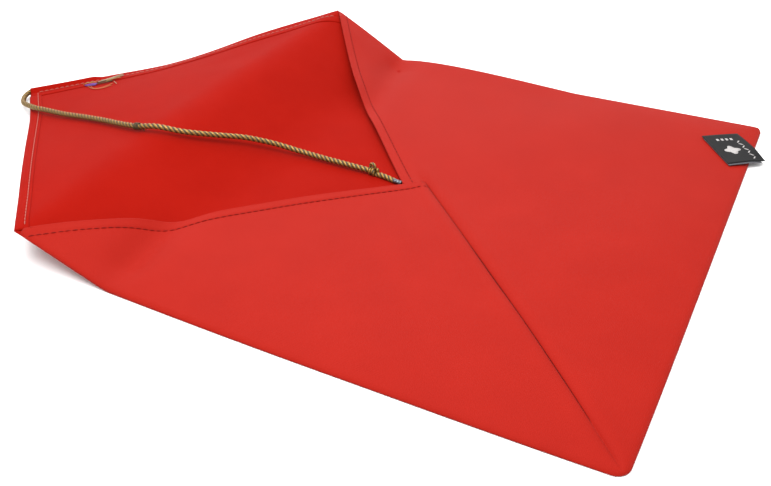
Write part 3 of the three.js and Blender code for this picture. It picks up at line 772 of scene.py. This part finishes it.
def edge_point(side, depth, along, inset):
    """Pattern place at a distance along a hemmed edge from its folded corner. The depth is the mouth's,
    or minus the flap's length."""
    slant = math.hypot(depth, HALF)
    x = -HALF + depth * along / slant + inset * HALF / slant
    return x, side * (HALF * (1 - along / slant) + inset * depth / slant)


def hem(name, side, depth, along, profile, rise=None):
    """A closed strip whose profile is a list of (inset, height above the cloth's lower face)."""
    inset, height = (np.array(v) * MM for v in zip(*profile))
    along, inset = np.meshgrid(along, inset, indexing="ij")
    x, y = edge_point(side, depth, along, inset)
    lift = height + (rise(along, inset) * (height > CLOTH + 0.3 * MM) if rise else 0)
    base = back_height(x, y) if depth < 0 else front_height(x, y, side) - CLOTH
    points = shaped(x, y, base + lift).reshape(-1, 3)
    cotton_side = SHADED_COTTON_INSIDE if depth < 0 else COTTON_OUTSIDE
    piece = mesh_object(name, points, tube_faces(*x.shape), [cotton_side])
    map_cloth(piece, np.stack([x.ravel(), y.ravel()], axis=1))
    return piece


def turned_over(width, stitch):
    """The profile of a flap hem in mm, from its width and its stitches' inset in metres."""
    width, stitch = width / MM, stitch / MM
    outer = [(0.4, 0.1), (-0.1, 0.0), (-0.4, 0.25), (-0.4, 0.7), (-0.1, 1.05), (0.6, 1.25)]
    top = [(inset, 1.3) for inset in np.linspace(1.6, stitch - 1.2, 7)]
    groove = [(stitch - 0.5, 1.05), (stitch, 0.9), (stitch + 0.5, 1.02), (stitch + 1.3, 1.15)]
    inner = [(width - 0.5, 1.1), (width, 0.95), (width + 0.1, 0.7), (width, 0.52), (width / 2, 0.52)]
    return outer + top + groove + inner


TURNED_UNDER = [(0.5, 0.55), (0.1, 0.6), (-0.35, 0.35), (-0.45, -0.05), (-0.25, -0.4), (0.4, -0.6),
    (4.0, -0.6), (6.2, -0.35), (7.4, -0.5), (7.7, -0.3), (7.7, -0.02), (4.0, -0.02)]


def channel_rise(along, inset):
    """The ridge of the cord inside the far hem, which fades out over 12 mm beyond the cord's inner end.
    """
    inside = smooth((along - (FLAP_SLANT - ANCHOR_LENGTH - 12 * MM)) / (12 * MM))
    return RIDGE * inside * bell(inset - ANCHOR_INSET, 3.2 * MM)


near_mouth_end = (SEAM_X + HALF) / MOUTH_DEPTH[-1] * MOUTH_SLANT[-1] - 1.5 * MM
far_mouth_end = (CORNER_X + HALF) / MOUTH_DEPTH[1] * MOUTH_SLANT[1] - 1 * MM
far_flap_hem = hem("turned_hem_flap_far", 1, -FLAP_LENGTH,
    np.linspace(HEM_START, FLAP_SLANT - 0.4 * MM, 130),
    turned_over(FAR_HEM_WIDTH, FAR_STITCH_INSET), channel_rise)
near_flap_hem = hem("turned_hem_flap_near", -1, -FLAP_LENGTH,
    np.linspace(HEM_START, FLAP_SLANT - FAR_HEM_WIDTH, 110),
    turned_over(HEM_WIDTH, NEAR_STITCH_INSET))
near_mouth_hem = hem("turned_hem_mouth_near", -1, MOUTH_DEPTH[-1],
    np.linspace(MOUTH_HEM_START, near_mouth_end, 120), TURNED_UNDER)
far_mouth_hem = hem("turned_hem_mouth_far", 1, MOUTH_DEPTH[1],
    np.linspace(MOUTH_HEM_START, far_mouth_end, 120), TURNED_UNDER)

along = FLAP_SLANT - np.linspace(ANCHOR_LENGTH, 1 * MM, 60)
x, y = edge_point(1, -FLAP_LENGTH, along, ANCHOR_INSET)
held = laid_cord("cord_in_hem", shaped(x, y, back_height(x, y) + CLOTH + 1.55 * MM), WOUND_CORD)


def ribbon(name, x, y, height, thickness):
    """An open strip of cloth between the layers, given on the flat pattern."""
    points = shaped(x, y, height)
    piece = mesh_object(name, points.reshape(-1, 3), grid_faces(*x.shape), [SHADED_COTTON_INSIDE])
    map_cloth(piece, np.stack([x.ravel(), y.ravel()], axis=1))
    thicken(piece, thickness)
    return piece


# The side allowance lies from 1.6 to 9 mm inside the closed edge, the diagonal one beside its seam.
along, across = np.meshgrid(np.linspace(0, 1, 80), np.linspace(0, 1, 5), indexing="ij")
side_x = HALF - (1.6 + 7.4 * across) * MM
side_y = (along - 0.5) * (SIDE - 20 * MM)
side_allowance = ribbon("allowance_side_seam", side_x, side_y, back_height(side_x, side_y) + 1.0 * MM,
    0.2 * MM)
seam_run = SEAM_X + 8 * MM + along * (HALF - 24 * MM - SEAM_X)
off_seam = (0.4 + 8.4 * across) * MM / math.sqrt(2)
seam_x = seam_run - off_seam
seam_y = -seam_run - off_seam
under_front = front_height(seam_x, seam_y, -1) - CLOTH - 0.4 * MM
diagonal_allowance = ribbon("allowance_diagonal_seam", seam_x, seam_y,
    np.maximum(under_front, back_height(seam_x, seam_y) + 0.8 * MM), 0.3 * MM)
print("hems", FAR_HEM_WIDTH, "and", HEM_WIDTH, "m wide")

# %% [markdown]
# ## Stitches
# A row of lockstitch shows as short dashes with a small gap where the thread dives into the cloth.
# The flap's hems are sewn with pale thread and the mouth's with dark red. The seams are sewn on the
# inside, where their thread doesn't show.

# %% Rows of stitches
STITCH_PITCH = 4.0 * MM
STITCH_LENGTH = 3.6 * MM
FLAP_THREAD = 0.66 * MM  # across
MOUTH_THREAD = 0.56 * MM


def stitch_row(name, path, material, radius=FLAP_THREAD / 2):
    travelled = travelled_along(path)
    u = np.linspace(0, 1, 7)
    angles = np.arange(6) * math.pi / 3
    vertices, faces = [], []
    last = travelled[-1] - STITCH_LENGTH
    for start in np.linspace(0, last, int(round(last / STITCH_PITCH)) + 1):
        spots = start + STITCH_LENGTH * u
        centre = np.stack([np.interp(spots, travelled, path[:, i]) for i in range(3)], axis=1)
        centre[:, 2] += radius * (1.1 * np.sin(math.pi * u) - 0.3)
        ahead = centre[-1] - centre[0]
        e1 = np.cross(ahead, (0, 0, 1))
        e1 /= np.linalg.norm(e1)
        e2 = np.cross(e1, ahead)
        e2 /= np.linalg.norm(e2)
        faces += grid_faces(7, 6, first=len(vertices), closed=True)
        for point, r in zip(centre, radius * (0.3 + 0.7 * np.sin(math.pi * u) ** 0.5)):
            vertices += [point + r * (math.cos(a) * e1 + math.sin(a) * e2) for a in angles]
    return mesh_object(name, vertices, faces, [material])


def edge_path(side, depth, low, high, inset, lift, rise=None):
    along = np.arange(low, high, 1 * MM)
    x, y = edge_point(side, depth, along, inset)
    if depth > 0:
        return shaped(x, y, front_height(x, y, side) + lift)
    return shaped(x, y, back_height(x, y) + lift + (rise(along, inset) if rise else 0))


near_flap_stitches = stitch_row("stitches_flap_near", edge_path(-1, -FLAP_LENGTH, 5 * MM,
    FLAP_SLANT - FAR_STITCH_INSET, NEAR_STITCH_INSET, 1.0 * MM), PALE_THREAD)
far_flap_stitches = stitch_row("stitches_flap_far", edge_path(1, -FLAP_LENGTH, 6 * MM,
    FLAP_SLANT - NEAR_STITCH_INSET, FAR_STITCH_INSET, 1.0 * MM, channel_rise), PALE_THREAD)
near_mouth_stitches = stitch_row("stitches_mouth_near", edge_path(-1, MOUTH_DEPTH[-1], 7.5 * MM,
    near_mouth_end + 1 * MM, STITCH_INSET, 0.1 * MM), DARK_THREAD, MOUTH_THREAD / 2)
far_mouth_stitches = stitch_row("stitches_mouth_far", edge_path(1, MOUTH_DEPTH[1], 7.5 * MM,
    far_mouth_end, STITCH_INSET, 0.1 * MM), DARK_THREAD, MOUTH_THREAD / 2)
y = np.arange(-HALF + 12 * MM, HALF - 12 * MM, 1 * MM)
x = np.full_like(y, HALF - 3 * MM)
side_thread = stitch_row("stitches_side_seam", shaped(x, y, back_height(x, y) + 1.2 * MM),
    DARK_THREAD, 0.2 * MM)
seam_run = np.arange(SEAM_X + 10 * MM, HALF - 18 * MM, 1 * MM)
x, y = seam_run - 1.5 * MM, -seam_run - 1.5 * MM
diagonal_thread = stitch_row("stitches_diagonal_seam",
    shaped(x, y, front_height(x, y, -1) - CLOTH - 0.2 * MM), DARK_THREAD, 0.15 * MM)
print("stitches every", STITCH_PITCH, "m")

# %% [markdown]
# ## The frayed end
# The cord's other end comes out of the far hem as loose yarns: purple, orange, olive, ecru and gold.
# Each yarn starts under the hem's inner edge and curls over the flap.

# %% Loose yarns
def joined(name, pieces):
    with bpy.context.temp_override(active_object=pieces[0], selected_editable_objects=pieces):
        bpy.ops.object.join()
    pieces[0].name = name
    return pieces[0]


# Each yarn: its material, its thickness in mm, and its points as (distance from the tip along the
# far edge, inset, height above the flap) in mm.
LOOSE_YARNS = [
    (PURPLE_YARN, 1.2, [(40, 16.5, 0.8), (43, 18, 1.4), (46, 18.8, 1.5), (49, 19.4, 1.2)]),
    (PURPLE_YARN, 1.0, [(41, 17.5, 0.6), (44, 19.4, 0.9), (48, 20.6, 0.8)]),
    (GOLD_YARN, 0.7, [(39, 15.5, 1.3), (41, 16, 2.2), (45, 16.5, 2.4), (49, 17, 2.0)]),
    (ORANGE_YARN, 0.6, [(42, 19, 0.8), (43.5, 25, 0.6), (47, 31, 0.6), (53, 33, 0.6), (60, 30, 0.6)]),
    (ORANGE_YARN, 0.5, [(44, 20, 0.6), (46, 28, 0.5), (51, 31, 0.5), (57, 28, 0.5), (61, 25, 0.6)]),
    (OLIVE_YARN, 0.9, [(48, 18.5, 0.8), (53, 20, 1.2), (58, 20, 1.3), (61, 18.5, 1.2)]),
    (OLIVE_YARN, 0.8, [(49, 17.5, 1.6), (54, 18.5, 1.9), (60, 17, 1.9), (64, 15.5, 1.8)]),
    (PALE_YARN, 0.8, [(50, 17, 1.8), (55, 17.5, 2.4), (61, 15.5, 2.6), (66, 11.5, 2.2), (70, 8.5, 1.9)]),
    (PALE_YARN, 0.6, [(54, 18.5, 1.8), (60, 17, 2.3), (65, 14.5, 2.2), (70, 12.5, 1.8)]),
    (GOLD_YARN, 0.6, [(56, 19, 1.6), (61, 17.5, 2.0), (65, 16.5, 1.8), (68, 15.5, 1.4)]),
    (PALE_YARN, 0.5, [(62, 21, 0.7), (63, 25, 0.7), (64, 29, 0.6)]),
]
loose = []
for material, thickness, bends in LOOSE_YARNS:
    from_tip, inset, height = np.array(bends).T * MM
    x, y = edge_point(1, -FLAP_LENGTH, FLAP_SLANT - from_tip, inset)
    route = catmull_rom(shaped(x, y, back_height(x, y) + CLOTH + height), 0.8 * MM)
    loose.append(sweep("yarn", route, thickness * MM / 2, 6, [material]))
tuft = joined("loose_yarns", loose)
print("loose yarns", len(LOOSE_YARNS))

# %% [markdown]
# ## The label
# A woven label is folded in two and sewn on at the closed seam by one short edge. The top leaf lies on
# the cloth and its corner stands over the side. The marks on it are a plain badge, a row of blocks and
# a row of slanted bars.

# %% Label leaves and marks
LABEL_LENGTH = 38 * MM
LABEL_WIDTH = 27 * MM
LABEL_PLACE = np.array((191.5, 127)) * MM
LABEL_TURN = math.radians(-52)
LABEL_CLOTH = 0.35 * MM
TOP_LEAF_HEIGHT = 1.3 * MM  # above the cloth
UNDER_LEAF_HEIGHT = 0.75 * MM
MARK_HEIGHT = TOP_LEAF_HEIGHT + LABEL_CLOTH + 0.05 * MM
FLAT_END = 168 * MM  # past this the label keeps the height that it has here


def on_label(length, width, height):
    """A point of the label: length and width from its overhanging corner, height above the cloth."""
    x = LABEL_PLACE[0] - length * math.cos(LABEL_TURN) + width * math.sin(LABEL_TURN)
    y = LABEL_PLACE[1] - length * math.sin(LABEL_TURN) - width * math.cos(LABEL_TURN)
    rest = front_height(np.minimum(x, FLAT_END), y, 1)
    corner = smooth(1 - length / (15 * MM)) * smooth(1 - width / (13 * MM))
    lip = 0.7 * MM * smooth(1 - width / (5 * MM)) * np.sin(math.pi * np.clip(length / LABEL_LENGTH, 0, 1))
    return np.stack([x, y, rest + height + lip - 1.2 * MM * corner], axis=-1)


def leaf(name, lengths, widths, height, material):
    length, width = np.meshgrid(np.linspace(*lengths, 30), np.linspace(*widths, 22), indexing="ij")
    points = on_label(length, width, height)
    piece = mesh_object(name, points.reshape(-1, 3), grid_faces(*length.shape), [material])
    thicken(piece, LABEL_CLOTH)
    return piece


top_leaf = leaf("label_leaf_top", (0, LABEL_LENGTH), (0, LABEL_WIDTH), TOP_LEAF_HEIGHT, LABEL_BLACK)
under_leaf = leaf("label_leaf_under", (-1.5 * MM, LABEL_LENGTH - 3 * MM), (3 * MM, LABEL_WIDTH),
    UNDER_LEAF_HEIGHT, LABEL_BACK)


def mark(outline):
    """A flat raised shape from an outline of (length, width) pairs in mm."""
    ring = np.array(outline) * MM
    centre = ring.mean(axis=0)
    rings = np.concatenate([centre[None], (ring + centre) / 2, ring])
    points = on_label(rings[:, 0], rings[:, 1], MARK_HEIGHT)
    n = len(ring)
    faces = [(0, 1 + i, 1 + (i + 1) % n) for i in range(n)]
    faces += [(1 + i, 1 + n + i, 1 + n + (i + 1) % n, 1 + (i + 1) % n) for i in range(n)]
    piece = mesh_object("mark", points, faces, [LABEL_WHITE])
    thicken(piece, 0.12 * MM)
    return piece


def bar(length, width, half_length, half_width, slant=0.0):
    corners = ((-1, -1), (1, -1), (1, 1), (-1, 1))
    return [(length + a * half_length, width + b * half_width + a * slant) for a, b in corners]


turn = np.linspace(0, 2 * math.pi, 32, endpoint=False)
petals = 4.6 + 1.1 * np.cos(4 * turn)
marks = [mark(list(zip(16.5 + petals * np.cos(turn), 15.0 + 1.05 * petals * np.sin(turn))))]
marks += [mark(bar(30.8, 8.5 + 3.4 * i, 1.3, 0.9)) for i in range(4)]
marks += [mark(bar(4.5 + 3.7 * i, 5.4, 1.1, 0.55, 0.9 if i % 2 else -0.9)) for i in range(7)]
label_marks = joined("label_marks", marks)
print("label", LABEL_LENGTH, "by", LABEL_WIDTH, "m")

# %% [markdown]
# ## Which body each piece rides on
# The flap turns about the fold line. The pieces that cross it, the cloth and the cord, keep their
# place in the world and ride on no body, and so do the flap's hems and stitches, the cord's binding
# and the label's leaves and marks. All others ride on one body. Each piece also names the parts of
# the imported model that it takes the place of, and those parts are hidden.

# %% Bodies and what is replaced
joints = {joint["name"]: joint for joint in frame["joints"]}
to_flap = np.cross(UP, joints["flap_fold"]["axis"])
to_flap *= -np.sign(to_flap[0]) / np.linalg.norm(to_flap)

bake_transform(cloth)
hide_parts("back_panel", "mouth_strip", "near_front_panel", "far_front_panel",
    "near_front_tip", "far_front_tip", "near_tip_fold", "far_tip_fold", "near_fold_edge",
    "far_fold_edge", "side_seam", "flap_panel")
for piece, slot, nodes in (
        (far_flap_hem, "red_cotton_inside", ("flap_far_hem", "flap_cord_channel")),
        (near_flap_hem, "red_cotton_inside", ("flap_near_hem",)),
        (near_flap_stitches, "pale_thread", ("flap_near_stitches",)),
        (far_flap_stitches, "pale_thread", ("flap_far_stitches",))):
    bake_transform(piece)
    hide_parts(*nodes)
for piece, slot, node in ((tie_cord, "gold_cord", "cord"), (binding, "dark_thread", "cord_whipping")):
    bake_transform(piece)
    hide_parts(node)
for piece, body, slot, node in (
        (knot, "pouch", "gold_cord", "cord_knot"),
        (bight, "pouch", "gold_cord", "cord_loop"),
        (tail, "pouch", "gold_cord", "cord_tail"),
        (sleeve, "pouch", "steel_sleeve", "cord_sleeve"),
        (near_mouth_hem, "pouch", "red_cotton", "near_mouth_hem"),
        (far_mouth_hem, "pouch", "red_cotton", "far_mouth_hem"),
        (near_mouth_stitches, "pouch", "dark_thread", "near_mouth_stitches"),
        (far_mouth_stitches, "pouch", "dark_thread", "far_mouth_stitches"),
        (side_allowance, "pouch", "red_cotton_inside", "side_seam_allowance"),
        (side_thread, "pouch", "dark_thread", "side_seam_thread"),
        (diagonal_allowance, "pouch", "red_cotton_inside", "diagonal_seam_allowance"),
        (diagonal_thread, "pouch", "dark_thread", "diagonal_seam_thread"),
        (held, "flap", "gold_cord", "cord_anchor"),
        (tuft, "flap", "loose_threads", "cord_frayed_end")):
    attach(piece, body)
    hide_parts(node)
for piece, slot, node in (
        (top_leaf, "black_woven", "label_top_leaf"),
        (under_leaf, "black_woven", "label_under_leaf"),
        (label_marks, "white_woven", "label_motif")):
    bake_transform(piece)
    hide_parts(node)

# %% [markdown]
# ## The cord and the cloth
# The cord's free length is measured along its route. The cloth's flat size is that of its cut: a
# trapezoid 509 mm high whose long side is 764 mm and whose short side is 255 mm.

# %% [markdown]
# ## Floor and light
# The pouch lies on a plain near-white surface in soft, even light. One large lamp stands beyond the
# flap and one hangs over the pouch, so that folds and hems cast faint shadows. The standard view
# transform keeps the red and the white as they are set.

# %% Stage
white_paper, _ = new_material("matt_white_paper", Roughness=0.95, Base_Color=linear("#f3f3f3"))
floor = mesh_object("floor", [(-3, -3, 0), (3, -3, 0), (3, 3, 0), (-3, 3, 0)], [(0, 1, 2, 3)],
    [white_paper])
floor.location.z = -0.2 * MM


def area_light(name, place, size, power):
    light = bpy.data.lights.new(name, "AREA")
    light.size = size
    light.energy = power
    lamp = bpy.data.objects.new(name, light)
    lamp.location = place
    lamp.rotation_euler = (-Vector(place)).to_track_quat("-Z", "Y").to_euler()
    bpy.context.collection.objects.link(lamp)


area_light("key_light", (-0.55, 0.70, 0.85), 1.3, 10)
area_light("overhead_light", (-0.02, -0.25, 0.85), 0.7, 10)
world = bpy.data.worlds.new("pale_room")
world.use_nodes = True
world.node_tree.nodes["Background"].inputs["Color"].default_value = (1, 1, 1, 1)
world.node_tree.nodes["Background"].inputs["Strength"].default_value = 1.0
bpy.context.scene.world = world
bpy.context.scene.view_settings.view_transform = "Standard"
